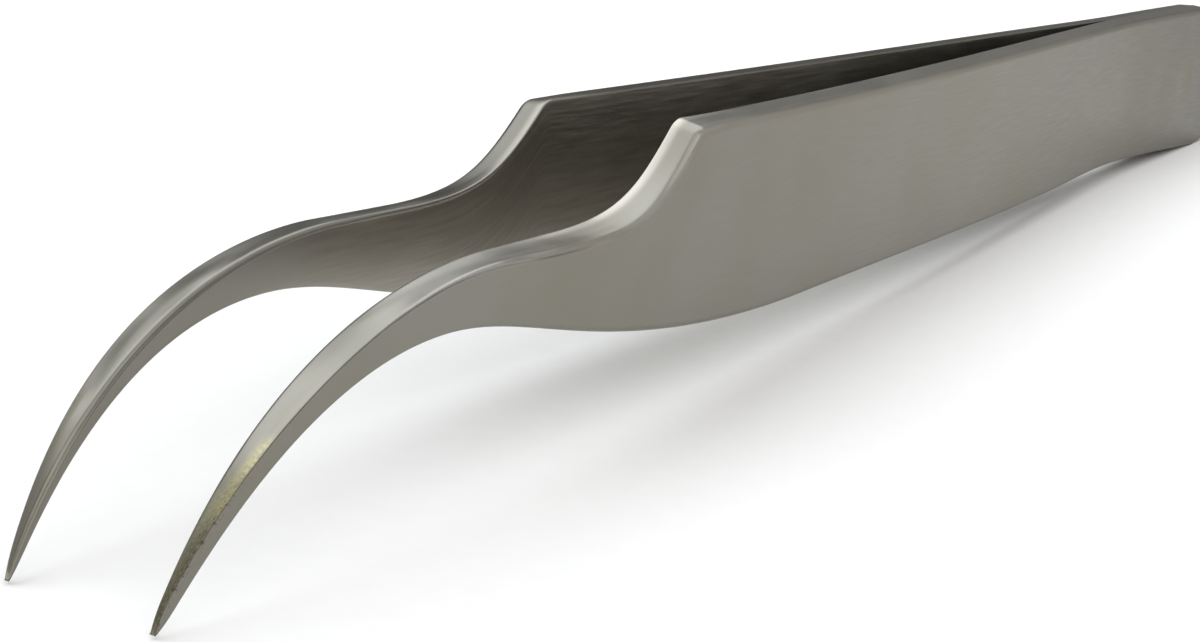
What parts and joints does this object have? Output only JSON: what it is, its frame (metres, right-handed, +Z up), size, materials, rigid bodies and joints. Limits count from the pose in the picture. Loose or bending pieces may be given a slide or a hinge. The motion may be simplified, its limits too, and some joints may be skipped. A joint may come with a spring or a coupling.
{
  "type": "curved fine-point tweezers",
  "caption": "Hand tweezers with hooked fine points: sprung steel blades, spot welded at the heel, close towards each other when pinched.",
  "frame": {"origin": "centre of the footprint, on the plane that the two points and the lower corner of the heel stand on", "axes": "+X from the points to the heel, +Y towards the left blade, +Z up in the plane of the blades"},
  "size_m": [0.122, 0.0096, 0.0125],
  "materials": {
    "blade_steel": "satin, fine lengthwise brushing, brighter ground edges",
    "weld_steel": "dull cast weld metal, hidden between the blades"
  },
  "bodies": {
    "heel": {"left_heel": "blade_steel", "right_heel": "blade_steel", "weld_front": "weld_steel", "weld_rear": "weld_steel"},
    "left_blade": {"left_arm": "blade_steel"},
    "right_blade": {"right_arm": "blade_steel"}
  },
  "joints": [
    {"name": "left_flex", "type": "hinge", "parent": "heel", "child": "left_blade", "pos_m": [0.025, 0.00136, 0.0065], "axis": [0, 0, 1], "range_deg": [0, 2.1], "stiffness_Nm_per_rad": 4},
    {"name": "right_flex", "type": "hinge", "parent": "heel", "child": "right_blade", "pos_m": [0.025, -0.00136, 0.0065], "axis": [0, 0, -1], "range_deg": [0, 2.1], "stiffness_Nm_per_rad": 4}
  ],
  "couplings": [
    {"joint": "right_flex", "follows": "left_flex", "ratio": 1}
  ]
}
